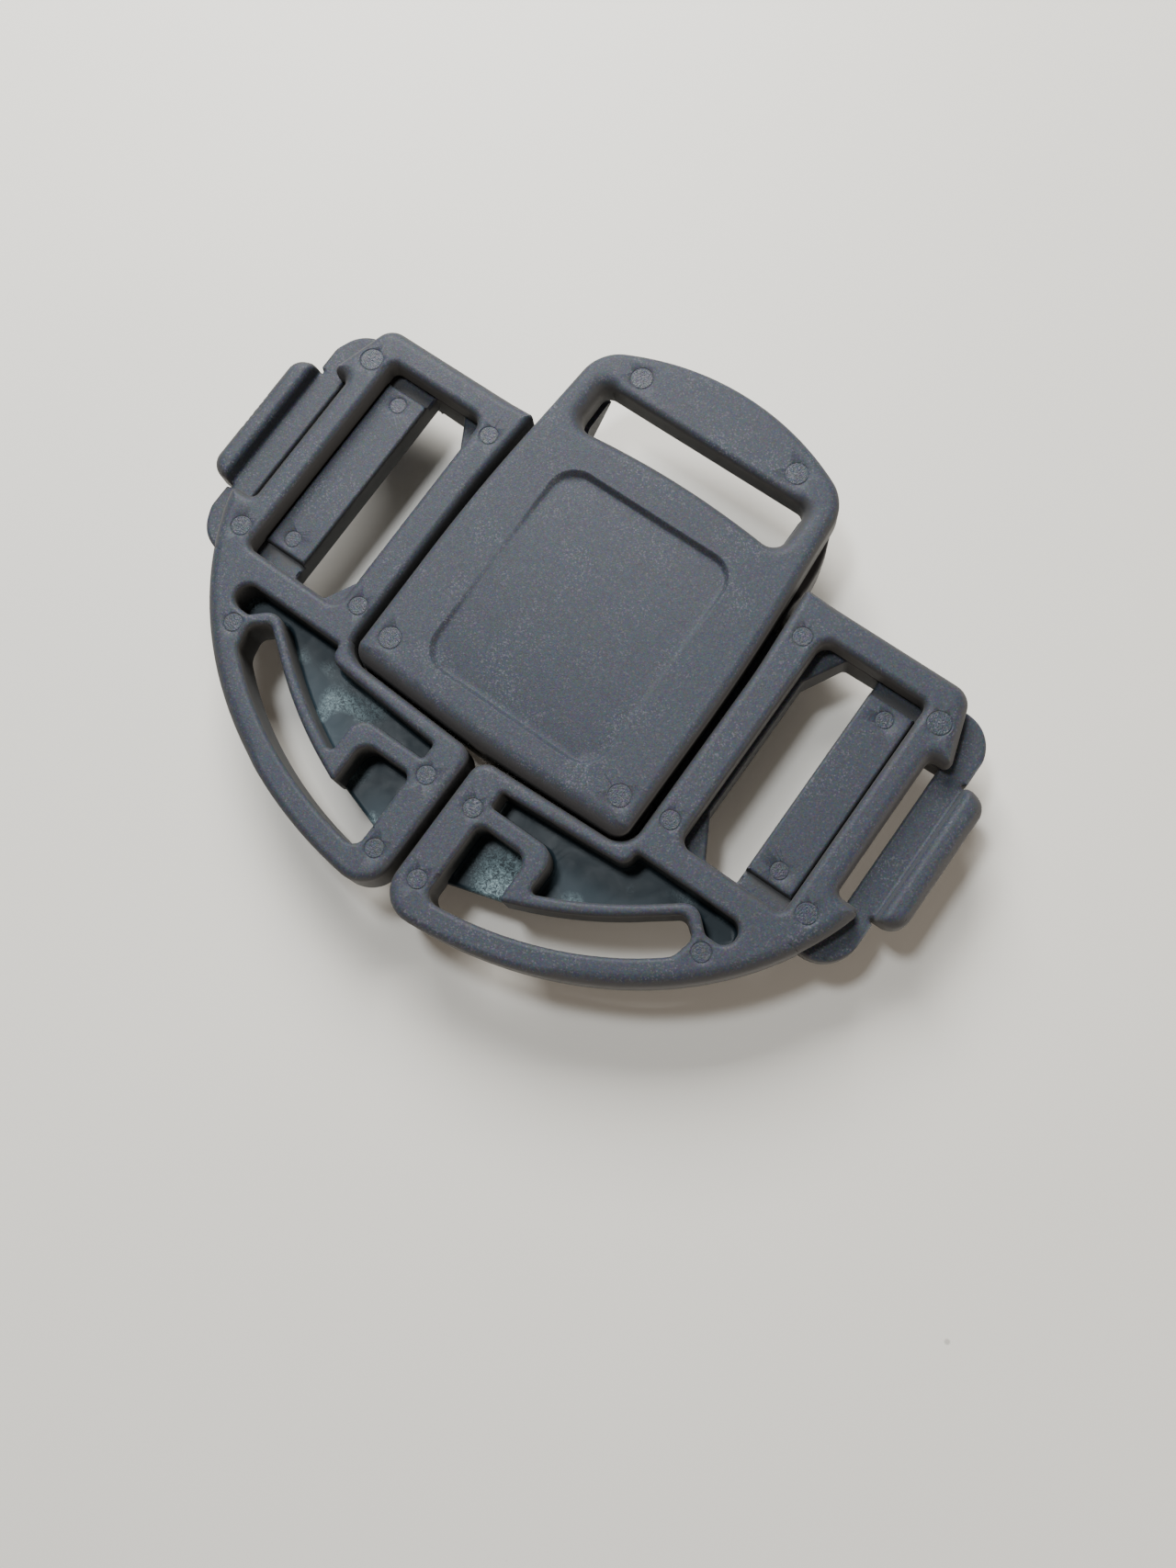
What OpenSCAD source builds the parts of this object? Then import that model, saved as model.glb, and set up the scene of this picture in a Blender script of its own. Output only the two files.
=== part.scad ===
// Five-point harness buckle, fastened, lying on its front with its back face up.
// X runs across the waist straps, Y points to the crotch strap, Z is up.
// The origin is on the table, under the middle of the outline.

/* [Heights] */
// Back face of the shoulder loops above the table
loop_top = 10.6; // [10.4:0.1:11.5]
// Step up from the loops to the centre plate
plate_step = 1.1; // [0.6:0.1:1.5]
// Thickness of the centre back shell
back_t = 3.4; // [3.2:0.1:3.5]
// Thickness of a loop where it lies on the waist piece
loop_t = 2.7; // [2.4:0.1:2.8]
// Thickness of a loop round its curved slot
moon_t = 5.6; // [5:0.1:6.5]
// Thickness of the floors of the cavity and the pocket
floor_t = 1.2; // [1:0.1:1.6]
// Gap between pieces that lie on each other
gap = 0.2; // [0.15:0.05:0.3]

/* [Centre body] */
// Half width of the plate at its widest
plate_half_w = 17.7; // [17.2:0.1:17.8]
// Y of the domed end
dome_y = 33.5; // [33:0.1:34]
// Radius of the domed end
dome_r = 31; // [30:1:32]
// Y of the plate's lower edge at its middle
plate_low_y = -14.6; // [-14.7:0.1:-14.4]
// How far the front shell stands proud at the sides
front_proud = 0.35; // [0.2:0.05:0.45]
// Half length of the crotch strap slot, for webbing 25 mm wide
slot_half_l = 13.1; // [13:0.05:13.5]
// Y of the slot's straight edge
slot_high_y = 26.2; // [25.4:0.1:26.4]
// Y of the slot's bowed edge at its ends
slot_low_y = 20.35; // [20:0.05:20.8]
// Rise of the bowed edge at its middle
slot_bow = 0.7; // [0.3:0.1:1]
// Half width of the recessed panel
panel_half_w = 11.1; // [10:0.1:12]
// Y of the panel's lower and upper edges
panel_y = [-10.1, 16.3]; // [-12:0.1:18]
// Radius of the panel's crowned floor
panel_crown_r = 125; // [110:5:200]
// Radius of the release button
button_r = 9.6; // [9:0.1:9.8]

/* [Shoulder loops] */
// Half width and half height of the ellipse that the outline follows
moon_axes = [42.3, 35.5]; // [35:0.1:43]
// Y of the middle of that ellipse
moon_y = 2.1; // [2:0.1:2.2]
// Half gap between the two loops
seam = 0.35; // [0.3:0.05:0.45]
// X of the edge beside the centre plate
loop_in_x = 18.5; // [18.4:0.05:18.8]
// X of that edge's upper end, beside the dome's foot
loop_in_high_x = 17.85; // [17.7:0.05:18.3]
// Y of the loop's straight top edge
loop_high_y = 19.2; // [18.8:0.05:19.3]
// Lowest and highest X of the window
window_x = [22.4, 34.9]; // [22:0.1:35]
// Lowest and highest Y of the window
window_y = [-10.7, 15.6]; // [-11:0.1:16]
// X of the outer edge of the bar outside the window
outer_bar_x = 38.2; // [38:0.1:38.5]
// Width of the rim outside the curved slot
rim_w = 2.9; // [2.6:0.1:3.1]

/* [Waist tongues] */
// Y of the middle line of the waist straps
waist_y = 2.7; // [2.6:0.1:2.8]
// Half width of the waist piece
waist_half_w = 15.3; // [15.1:0.1:15.4]
// X of its rounded outer corners and of the finger tab
waist_out_x = [42.8, 45.65]; // [42.2:0.05:46]
// Half length of the finger tab
tab_half_l = 8.3; // [8:0.05:8.8]
// Height of the tab's lip over the piece
lip_h = 1.5; // [1.3:0.1:1.9]
// Thickness at the tongue's end and at the tab
waist_t = [4.5, 2.4]; // [2:0.1:5]
// Lowest and highest X of the strap bar
bar_x = [29.3, 34.75]; // [29:0.05:34.75]
// Half length of the strap bar
bar_half_l = 11.35; // [11:0.05:11.5]
// Height of the strap bar over the piece
bar_h = 0.7; // [0.5:0.1:0.9]
// Thickness of the strap bar
bar_t = 2.8; // [2.4:0.1:3.2]
// Half width of the hidden tongue
tongue_half_w = 11.2; // [10.8:0.1:11.4]
// Thickness of the hidden tongue
tongue_t = 3.2; // [3:0.1:3.3]
// X of the hidden tongue's inner end
tongue_in_x = 2; // [1.5:0.1:3]

/* [Moulding marks] */
// Depth of the round ejector marks
mark_depth = 0.12; // [0.08:0.01:0.2]

/* [Hidden] */
plastic = "#6d7078";
bore_fn = 96;
mark_fn = 48;
crown_fn = 720;
// Longest step along a round stretch, in millimetres and in degrees
step_mm = 1.2;
step_deg = 9;
// How far a cut runs past the face that it opens
over = 1;
eps = 0.01;

// Heights worked out from the stack
plate_top = loop_top + plate_step;
back_low = plate_top - back_t;
front_top = back_low - gap;
loop_low = loop_top - loop_t;
moon_low = loop_top - moon_t;
floor_top = moon_low + floor_t;
waist_top = loop_low - gap;
tongue_low = waist_top - tongue_t;
channel_low = tongue_low - gap;
bar_top = waist_top + bar_h;
bar_low = bar_top - bar_t;

// Centre body: how far the dome's arc turns before its shoulders, and the shoulders' half width
dome_tilt = 24.7;
shoulder_x = 16.1;
plate_corner_r = 1.7;
plate_side_bow_r = 200;
plate_low_bow_r = 150;
shoulder_r = 5;
panel_r = 3;
panel_crown_y = (panel_y[0] + panel_y[1]) / 2;
panel_crown_drop = 0.06;
slot_high_r = 1.2;
slot_low_r = 1.8;
slot_bow_r = 100;
// The strap slot is this much shorter at each end where it goes through the front shell
front_slot_in = 0.45;
// The front shell's wedge: where its slope meets the table, its rise, and where it ends under the slot
wedge_y = 14.5;
wedge_rise = 0.62;
wedge_end_y = 26.2;
wedge_blend_r = 8;
front_edge_r = 5;

// Release button: flange, catches and the gap round its face
button_gap = 0.25;
button_floor = 1.8;
button_set_in = 0.4;
button_dish_r = 60;
button_dish_depth = 0.5;
flange_r = button_r + 2.4;
flange_low = button_floor + gap;
flange_top = channel_low - gap;
catch_x = [6.3, 10.2];
catch_half_l = 5;
catch_gap = 0.3;
catch_top = waist_top - 0.5;

// Loop: reach of the thick part under the window, half length of the notch for the tab, rim radii
thick_high_y = waist_y - waist_half_w - gap;
notch_half_l = tab_half_l + 0.25;
slot_axes = [moon_axes[0] - rim_w, moon_axes[1] - rim_w];

// Waist piece: where its plate starts, where its tongue joins, its window's half length, and the lip
waist_in_x = 18;
tongue_out_x = 19;
waist_window_half_l = 13;
lip_w = 3;
lip_slope_w = 0.4;

// Corners as [x, y, radius], on the right side
loop_corners_high = [
  [loop_in_high_x, loop_high_y, 0.5],
  [38, loop_high_y, 2.4],
  [40.6, waist_y + notch_half_l, 0.5],
  [outer_bar_x, waist_y + notch_half_l, 0.8],
  [outer_bar_x, waist_y - notch_half_l, 0.8],
  [41.2, waist_y - notch_half_l, 0.5]
];
loop_corners_low = [
  [seam, -33.4, 3.6],
  [seam, -15.05, 2],
  [loop_in_x, -14.25, 2.6],
  [loop_in_x, 9, 60]
];
window_corners = [
  [window_x[0], window_y[0], 1.4],
  [window_x[1], window_y[0], 0.8],
  [window_x[1], window_y[1], 0.8],
  [window_x[0], window_y[1], 1.4]
];
cavity_corners = [
  [4.5, -16.8, 0.4],
  [4.5, -18.7, 0.4],
  [12.95, -18.7, 2],
  [12.95, -23.7, 0.5],
  [19.6, -20.55, 50],
  [27.4, -14.55, 1.8],
  [29.9, -16.8, 0.8],
  [32.55, -16.8, 1.4],
  [32.55, -13.9, 1.4],
  [19.5, -13.9, 0.5],
  [19.3, -15.75, 1.4]
];
pocket_corners = [
  [4.5, -30.25, 1.2],
  [4.5, -20.8, 1],
  [10.8, -20.8, 1.6],
  [10.8, -26.1, 0.4],
  [18.5, -22.85, 48],
  [27.15, -16.25, 1],
  [29.1, -17.8, 1.2],
  [28.5, -20.4, 2]
];
// The pocket's floor ends along this line, and the strap slot goes through below it
pocket_sill = [[3, -28.05], [12, -25.35]];
waist_corners = [
  [18.5, waist_half_w, 1],
  [waist_out_x[0], waist_half_w, 4],
  [waist_out_x[0], tab_half_l + 0.45, 0.3],
  [waist_out_x[0] - 0.55, tab_half_l, 0.1],
  [waist_out_x[1], tab_half_l, 2]
];
window_cut_corners = [
  [22.9, 8.5, 0.4],
  [25.4, waist_window_half_l, 0.4],
  [bar_x[0], waist_window_half_l, 0.4]
];
back_slot_x = [35.6, 39.5];
tongue_window_x = [6, 10.5];

// Ejector marks as [x, y, radius], on the right loop, the plate and the right strap bar
loop_marks = [
  [37, 14.5, 1.3],
  [36.9, -9.3, 1.15],
  [20.5, 14.4, 1.05],
  [20.4, -9.3, 1.05],
  [30.6, -18.5, 1.05],
  [3.05, -19.9, 1.05],
  [2.8, -29.1, 1.05]
];
plate_marks = [[10.05, 28.7, 1.25], [14.9, -10.35, 1.25]];
bar_marks = [[32.2, 12.3, 0.95], [32.2, -6.95, 0.95]];

function unit(v) = v / norm(v);

function turn(a, b) =
  let (d = b - a)
  d > 180 ? d - 360 : d < -180 ? d + 360 : d;

// The same rows on the other side of the line x = 0, in the opposite order
function across(rows) = [for (i = [len(rows) - 1:-1:0]) [-rows[i][0], rows[i][1], rows[i][2]]];

// The same rows on the other side of the line y = 0, in the opposite order
function below(rows) = [for (i = [len(rows) - 1:-1:0]) [rows[i][0], -rows[i][1], rows[i][2]]];

// The round stretch at corner c, between the straight runs to a and b
function corner_arc(a, c, b, r) =
  let (
    u = unit(a - c),
    v = unit(b - c),
    half = acos(u * v) / 2,
    centre = c + unit(u + v) * r / sin(half),
    from = c + u * r / tan(half) - centre,
    to = c + v * r / tan(half) - centre,
    start = atan2(from[1], from[0]),
    sweep = turn(start, atan2(to[1], to[0])),
    steps = ceil(max(abs(sweep) / step_deg, r * abs(sweep) * PI / 180 / step_mm))
  )
  [for (i = [0:steps]) centre + r * [cos(start + sweep * i / steps), sin(start + sweep * i / steps)]];

// A closed outline from corners given as [x, y, radius]
function rounded(corners) =
  let (
    n = len(corners),
    at = [for (c = corners) [c[0], c[1]]]
  )
  [for (i = [0:n - 1])
    each corners[i][2] > 0
      ? corner_arc(at[(i + n - 1) % n], at[i], at[(i + 1) % n], corners[i][2])
      : [at[i]]];

// Points on the lower half of an ellipse with half axes a, from one X to another
function ellipse_run(a, from_x, to_x) =
  let (
    start = acos(from_x / a[0]),
    sweep = acos(to_x / a[0]) - start,
    steps = ceil(abs(sweep) * PI / 180 * a[0] / step_mm)
  )
  [for (i = [0:steps])
    let (t = start + sweep * i / steps)
    [a[0] * cos(t), moon_y - a[1] * sin(t), 0]];

// The centre body's outline, wider by grow on each side
function centre_outline(grow) =
  let (
    tip_y = dome_y - dome_r + dome_r / cos(dome_tilt),
    side = [
      [plate_half_w - 0.1 + grow, plate_low_y + 0.6, plate_corner_r],
      [plate_half_w + grow, 8, plate_side_bow_r],
      [shoulder_x + grow, tip_y - (shoulder_x + grow) * tan(dome_tilt), shoulder_r]
    ]
  )
  rounded(concat(
    side,
    [[0, tip_y, dome_r]],
    across(side),
    [[0, plate_low_y - 0.05, plate_low_bow_r]]
  ));

// The crotch strap slot, which runs on to high_y
function strap_slot(half_l, high_y) =
  rounded([
    [half_l, slot_low_y, slot_low_r],
    [half_l, high_y, slot_high_r],
    [-half_l, high_y, slot_high_r],
    [-half_l, slot_low_y, slot_low_r],
    [0, slot_low_y + 2 * slot_bow, slot_bow_r]
  ]);

function panel_outline() =
  rounded([
    [panel_half_w, panel_y[0], panel_r],
    [panel_half_w, panel_y[1], panel_r],
    [-panel_half_w, panel_y[1], panel_r],
    [-panel_half_w, panel_y[0], panel_r]
  ]);

function loop_outline() =
  rounded(concat(loop_corners_high, ellipse_run(moon_axes, 40.6, 4.3), loop_corners_low));

function pocket_outline() =
  rounded(concat(pocket_corners, ellipse_run(slot_axes, 27.7, 6.2)));

module slab(outline, low, high) {
  translate([0, 0, low])
    linear_extrude(high - low)
      polygon(outline);
}

module block(low, high) {
  translate(low)
    cube(high - low);
}

// A shape given by its outline in X and Z, run right across in Y
module along_y(outline) {
  translate([0, 60, 0])
    rotate([90, 0, 0])
      linear_extrude(120)
        polygon(outline);
}

// A shape given by its outline in Y and Z, run right across in X
module along_x(outline) {
  translate([-60, 0, 0])
    rotate([90, 0, 90])
      linear_extrude(120)
        polygon(outline);
}

module disc(at_y, radius, low, high) {
  translate([0, at_y, low])
    cylinder(h = high - low, r = radius, $fn = bore_fn);
}

module marks(rows, face) {
  for (m = rows)
    translate([m[0], m[1], face - mark_depth])
      cylinder(h = over, r = m[2], $fn = mark_fn);
}

// The panel's floor is crowned along Y, so its groove is deep at the ends and fades at the sides
module recessed_panel() {
  difference() {
    slab(panel_outline(), plate_top - 2 * over, plate_top + over);
    translate([0, panel_crown_y, plate_top - panel_crown_drop - panel_crown_r])
      rotate([0, 90, 0])
        cylinder(h = 60, r = panel_crown_r, center = true, $fn = crown_fn);
  }
}

module centre_back_shell() {
  color(plastic)
    difference() {
      slab(centre_outline(0), back_low, plate_top);
      slab(strap_slot(slot_half_l, slot_high_y), back_low - over, plate_top + over);
      recessed_panel();
      marks(concat(plate_marks, across(plate_marks)), plate_top);
    }
}

// Thick under the plate, and cut to a wedge towards the domed end
module front_block() {
  half_w = plate_half_w + front_proud;
  wedge_high = (wedge_end_y - wedge_y) * wedge_rise;
  intersection() {
    slab(centre_outline(front_proud), 0, front_top);
    along_y(rounded([
      [half_w + over, front_top, 0],
      [-half_w - over, front_top, 0],
      [-half_w, 0, front_edge_r],
      [half_w, 0, front_edge_r]
    ]));
    along_x(rounded([
      [plate_low_y - over, front_top, 0],
      [plate_low_y - 0.1, 0, front_edge_r],
      [wedge_y, 0, wedge_blend_r],
      [wedge_end_y, wedge_high, 0],
      [wedge_end_y, front_top, 0]
    ]));
  }
}

module centre_front_shell() {
  channel_half_w = tongue_half_w + gap;
  color(plastic)
    difference() {
      front_block();
      slab(strap_slot(slot_half_l - front_slot_in, wedge_end_y + 2 * over), -over, front_top + over);
      block(
        [-30, waist_y - channel_half_w, channel_low],
        [30, waist_y + channel_half_w, front_top + over]
      );
      disc(waist_y, flange_r + button_gap, button_floor, channel_low + eps);
      disc(waist_y, button_r + button_gap, -over, button_floor + eps);
    }
}

// Two catches stand in the windows of the tongues, and the face has a shallow dish
module release_button() {
  color(plastic)
    difference() {
      union() {
        disc(waist_y, button_r, button_set_in, flange_low + eps);
        disc(waist_y, flange_r, flange_low, flange_top);
        for (side = [-1, 1])
          block(
            [side > 0 ? catch_x[0] : -catch_x[1], waist_y - catch_half_l, flange_top - eps],
            [side > 0 ? catch_x[1] : -catch_x[0], waist_y + catch_half_l, catch_top]
          );
      }
      translate([0, waist_y, button_set_in - button_dish_r + button_dish_depth])
        sphere(r = button_dish_r, $fn = 360);
    }
}

module loop_block() {
  slab(loop_outline(), loop_low, loop_top);
  intersection() {
    slab(loop_outline(), moon_low, loop_low + eps);
    block([-1, -50, 0], [60, thick_high_y, loop_top]);
  }
}

// The pocket has a floor down to its sill, and the slot for the shoulder strap goes right through
module pocket_and_slot() {
  slab(pocket_outline(), floor_top, loop_top + over);
  intersection() {
    slab(pocket_outline(), moon_low - over, floor_top + eps);
    slab(
      [[3, -50], [50, -50], [50, 0], [12, pocket_sill[1][1]], pocket_sill[0]],
      0,
      loop_top
    );
  }
}

module shoulder_loop() {
  color(plastic)
    difference() {
      loop_block();
      slab(rounded(window_corners), loop_low - over, loop_top + over);
      slab(rounded(cavity_corners), floor_top, loop_top + over);
      pocket_and_slot();
      marks(loop_marks, loop_top);
    }
}

// Side view of the waist piece: it thins towards the tab, which ends in a raised lip
module waist_block() {
  lip_top = waist_top + lip_h;
  out_x = waist_out_x[1];
  intersection() {
    translate([0, waist_y, 0])
      slab(rounded(concat(waist_corners, below(waist_corners))), 0, loop_top);
    along_y(rounded([
      [waist_in_x, waist_top, 0],
      [out_x - lip_w, waist_top, 0.4],
      [out_x - lip_w + lip_slope_w, lip_top, 0.7],
      [out_x, lip_top, 1.5],
      [out_x, waist_top - waist_t[1], 1],
      [waist_in_x, waist_top - waist_t[0], 0]
    ]));
  }
}

module strap_bar() {
  block(
    [bar_x[0], waist_y - bar_half_l, bar_low],
    [bar_x[1], waist_y + bar_half_l, bar_top]
  );
}

module tongue_plate() {
  w = tongue_half_w;
  translate([0, waist_y, 0])
    difference() {
      slab(
        rounded([[tongue_in_x, -w, 2], [tongue_out_x, -w, 0], [tongue_out_x, w, 0], [tongue_in_x, w, 2]]),
        tongue_low,
        waist_top
      );
      block(
        [tongue_window_x[0], -catch_half_l - catch_gap, 0],
        [tongue_window_x[1], catch_half_l + catch_gap, loop_top]
      );
    }
}

module waist_tongue() {
  cut = window_cut_corners;
  window_half_l = waist_window_half_l;
  color(plastic)
    difference() {
      union() {
        difference() {
          waist_block();
          translate([0, waist_y, 0]) {
            slab(rounded(concat(cut, below(cut))), 0, loop_top);
            block([bar_x[0] - over, -window_half_l, 0], [back_slot_x[0], window_half_l, bar_low]);
            block([back_slot_x[0], -notch_half_l, 0], [back_slot_x[1], notch_half_l, loop_top]);
          }
        }
        strap_bar();
        tongue_plate();
      }
      marks(bar_marks, bar_top);
    }
}

module left_shoulder_loop() {
  mirror([1, 0, 0])
    shoulder_loop();
}

module right_shoulder_loop() {
  shoulder_loop();
}

module left_waist_tongue() {
  mirror([1, 0, 0])
    waist_tongue();
}

module right_waist_tongue() {
  waist_tongue();
}

centre_back_shell();
centre_front_shell();
release_button();
left_shoulder_loop();
right_shoulder_loop();
left_waist_tongue();
right_waist_tongue();
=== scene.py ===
import math

import bpy
import numpy as np
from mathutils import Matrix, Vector
from mathutils.geometry import delaunay_2d_cdt


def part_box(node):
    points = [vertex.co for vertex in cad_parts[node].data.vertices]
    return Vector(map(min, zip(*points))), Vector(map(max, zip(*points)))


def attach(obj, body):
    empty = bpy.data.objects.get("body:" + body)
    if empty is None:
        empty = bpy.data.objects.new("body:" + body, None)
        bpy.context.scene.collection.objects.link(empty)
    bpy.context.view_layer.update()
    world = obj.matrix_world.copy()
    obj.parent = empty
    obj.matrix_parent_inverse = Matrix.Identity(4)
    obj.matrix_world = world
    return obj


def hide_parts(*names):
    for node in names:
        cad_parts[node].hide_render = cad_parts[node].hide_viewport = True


bl_info = {
    "name": "Harness buckle",
    "version": (1, 0, 0),
    "blender": (4, 5, 0),
    "location": "3D view > Sidebar > Buckle",
    "description": "Moulds the pieces of a fastened harness buckle over its CAD frame",
    "category": "Object",
}

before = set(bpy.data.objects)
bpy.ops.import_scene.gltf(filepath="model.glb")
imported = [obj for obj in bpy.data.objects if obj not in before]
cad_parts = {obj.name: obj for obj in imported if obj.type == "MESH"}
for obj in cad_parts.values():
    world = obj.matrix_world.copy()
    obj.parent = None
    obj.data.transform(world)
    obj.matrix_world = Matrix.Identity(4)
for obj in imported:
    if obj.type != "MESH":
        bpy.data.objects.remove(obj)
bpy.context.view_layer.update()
MM = 0.001

# Plan sizes of the pieces in millimetres, on the right side
PLATE_HALF_W = 17.7
PLATE_LOW_Y = -14.6
DOME_Y = 33.5
DOME_R = 31.0
DOME_TILT = math.radians(24.7)
SHOULDER = (16.1, 5.0)
SLOT_HALF_L = 13.1
SLOT_Y = (20.35, 26.2)
SLOT_BOW = 0.7
FRONT_SLOT_IN = 0.45
FRONT_PROUD = 0.35
FRONT_FLARE = ((17.4, 18.6, 20.0, 22.5, 24.5, 26.2), (0.0, 0.25, 0.5, 0.45, 0.1, -0.45))
WEDGE = ((14.5, 0.0), (26.2, 7.25))
PANEL_HALF_W = 11.1
PANEL_Y = (-10.1, 16.3)
PANEL_CROWN = (125.0, 3.1, 0.06)
PANEL_SOFT = (-0.3, 0.4)
# Where the back shell's roundings change: towards the slot's bar and ends, and beside the seam
SLOT_BAR_Y = (23.6, 21.0)
SLOT_END_X = (11.2, 12.8)
SEAM_Y = (-12.5, -14.0)
FRONT_ROUND = 4.9
WEDGE_SOFT = 2.3
WAIST_Y = 2.7
WAIST_HALF_W = 15.3
WAIST_OUT_X = (42.8, 45.65)
TAB_HALF_L = 8.3
BAR = ((29.3, 34.75), 11.35)
BACK_SLOT_X = (35.6, 39.5)
WINDOW_HALF_L = 13.0
TONGUE = (2.0, 11.2)
TONGUE_END_X = 18
TONGUE_WINDOW = ((6.0, 10.5), 5.3)
MOON_AXES = (42.3, 35.5)
MOON_Y = 2.1
RIM_W = 2.9
BESIDE_PLATE_X = 19.5
NOTCH_HALF_L = TAB_HALF_L + 0.25
MOON_CUT_Y = WAIST_Y - WAIST_HALF_W - 0.2
BUTTON_R = 9.6
FLANGE_R = 12.0
BUTTON_DISH = (7.7, 0.5)
HOLE_PLAY = 0.25
CATCH = ((6.3, 10.2), 5.0)
CHANNEL_HALF_W = 11.4
LOOP_CORNERS_HIGH = [
    (17.85, 19.2, 0.5),
    (38, 19.2, 2.4),
    (40.6, WAIST_Y + NOTCH_HALF_L, 0.7),
    (38.2, WAIST_Y + NOTCH_HALF_L, 0.8),
    (38.2, WAIST_Y - NOTCH_HALF_L, 0.8),
    (41.2, WAIST_Y - NOTCH_HALF_L, 0.7),
]
LOOP_CORNERS_LOW = [(0.35, -33.4, 3.6), (0.35, -15.05, 2), (18.5, -14.25, 2.6), (18.5, 9, 60)]
WINDOW_CORNERS = [(22.4, -10.7, 1.4), (34.9, -10.7, 0.8), (34.9, 15.6, 0.8), (22.4, 15.6, 1.4)]
CAVITY_CORNERS = [
    (4.5, -16.8, 0.4),
    (4.5, -18.7, 0.4),
    (12.95, -18.7, 2),
    (12.95, -23.7, 0.5),
    (19.6, -20.55, 50),
    (27.4, -14.55, 1.8),
    (29.9, -16.8, 0.8),
    (32.55, -16.8, 1.4),
    (32.55, -13.9, 1.4),
    (19.5, -13.9, 0.5),
    (19.3, -15.75, 1.4),
]
POCKET_CORNERS = [
    (4.5, -30.25, 1.2),
    (4.5, -20.8, 1),
    (10.8, -20.8, 1.6),
    (10.8, -26.1, 0.4),
    (18.5, -22.85, 48),
    (27.15, -16.25, 1),
    (29.1, -17.8, 1.2),
    (28.5, -20.4, 2),
]
POCKET_SILL = ((3.0, -28.05), (12.0, -25.35))
WAIST_CORNERS = [
    (TONGUE_END_X, WAIST_HALF_W, 1),
    (WAIST_OUT_X[0], WAIST_HALF_W, 4),
    (WAIST_OUT_X[0], TAB_HALF_L + 0.45, 0.3),
    (WAIST_OUT_X[0] - 0.55, TAB_HALF_L, 0.1),
    (WAIST_OUT_X[1], TAB_HALF_L, 2),
]
OCTAGON_CORNERS = [
    (22.9, 8.5, 0.6),
    (25.4, WINDOW_HALF_L, 0.6),
    (BAR[0][0], WINDOW_HALF_L, 0.2),
    (BAR[0][0], BAR[1], 0),
]
LOOP_MARKS = [
    (37, 14.5, 1.3),
    (36.9, -9.3, 1.15),
    (20.5, 14.4, 1.05),
    (20.4, -9.3, 1.05),
    (30.6, -18.5, 1.05),
    (3.05, -19.9, 1.05),
    (2.8, -29.1, 1.05),
]
PLATE_MARKS = [(10.05, 28.7, 1.25), (14.9, -10.35, 1.25)]
BAR_MARKS = [(32.2, 12.3, 0.95), (32.2, -6.95, 0.95)]

# Spacing of the points on the panel, and how far lines across the centre shells reach
PANEL_GRID = 1.2
ROW_HALF_L = 20
PAST_X = 30


def level(node, end):
    """Height of a CAD node's bottom (end 0) or top (end 1), in millimetres."""
    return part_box(node)[end].z / MM


# Heights in millimetres: the ends of the CAD nodes' boxes, and steps from them
LOOP_TOP = level("right_shoulder_loop", 1)
MOON_LOW = level("right_shoulder_loop", 0)
PLATE_TOP = level("centre_back_shell", 1)
BACK_LOW = level("centre_back_shell", 0)
FRONT_TOP = level("centre_front_shell", 1)
LIP_TOP = level("right_waist_tongue", 1)
CATCH_TOP = level("release_button", 1)
WAIST_TOP = LIP_TOP - 1.5
LOOP_LOW = WAIST_TOP + 0.2
FLOOR_TOP = MOON_LOW + 1.2
BAR_TOP = WAIST_TOP + 0.7
BAR_LOW = BAR_TOP - 2.8
TONGUE_LOW = WAIST_TOP - 3.2
CHANNEL_LOW = TONGUE_LOW - 0.2
BUTTON_FLOOR = 1.8
BUTTON_FACE = level("release_button", 0)


# Plan outlines

STRAIGHT_STEP = 0.8
ARC_STEP = 0.35
ARC_TURN = math.radians(8)


def corner_arc(before, corner, after, radius):
    """Points of the round stretch at a corner."""
    u = (before - corner) / np.linalg.norm(before - corner)
    v = (after - corner) / np.linalg.norm(after - corner)
    half = math.acos(float(np.clip(u @ v, -1, 1))) / 2
    centre = corner + (u + v) / np.linalg.norm(u + v) * radius / math.sin(half)
    first = corner + u * radius / math.tan(half) - centre
    last = corner + v * radius / math.tan(half) - centre
    start = math.atan2(first[1], first[0])
    sweep = math.atan2(last[1], last[0]) - start
    sweep = (sweep + math.pi) % (2 * math.pi) - math.pi
    steps = math.ceil(max(abs(sweep) / ARC_TURN, radius * abs(sweep) / ARC_STEP))
    turns = start + sweep * np.linspace(0, 1, steps + 1)
    return centre + radius * np.stack([np.cos(turns), np.sin(turns)], 1)


def subdivided(points, closed=True):
    """The same line with no straight run longer than STRAIGHT_STEP."""
    ends = np.roll(points, -1, 0) if closed else points[1:]
    out = []
    for a, b in zip(points, ends):
        steps = max(1, math.ceil(np.linalg.norm(b - a) / STRAIGHT_STEP))
        out.append(a + (b - a) * np.arange(steps)[:, None] / steps)
    if not closed:
        out.append(points[-1:])
    return np.concatenate(out)


def stretch(a, b):
    """Points along the straight line from a to b."""
    return subdivided(np.array([a, b], float), False)


def closed_lines(*outlines):
    """Outlines as a relief takes them."""
    return [(outline, True) for outline in outlines]


def open_lines(*lines):
    """Lines that don't close, as a relief takes them."""
    return [(line, False) for line in lines]


def rounded(corners):
    """A closed outline from corners given as (x, y, radius)."""
    at = np.array([c[:2] for c in corners], float)
    out = []
    for i, corner in enumerate(corners):
        if corner[2] > 0:
            out.append(corner_arc(at[i - 1], at[i], at[(i + 1) % len(at)], corner[2]))
        else:
            out.append(at[i : i + 1])
    return subdivided(np.concatenate(out))


def across(rows):
    """The same corners on the other side of x = 0, in the opposite order."""
    return [(-x, y, r) for x, y, r in reversed(rows)]


def below(rows):
    """The same corners on the other side of y = 0, in the opposite order."""
    return [(x, -y, r) for x, y, r in reversed(rows)]


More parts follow.
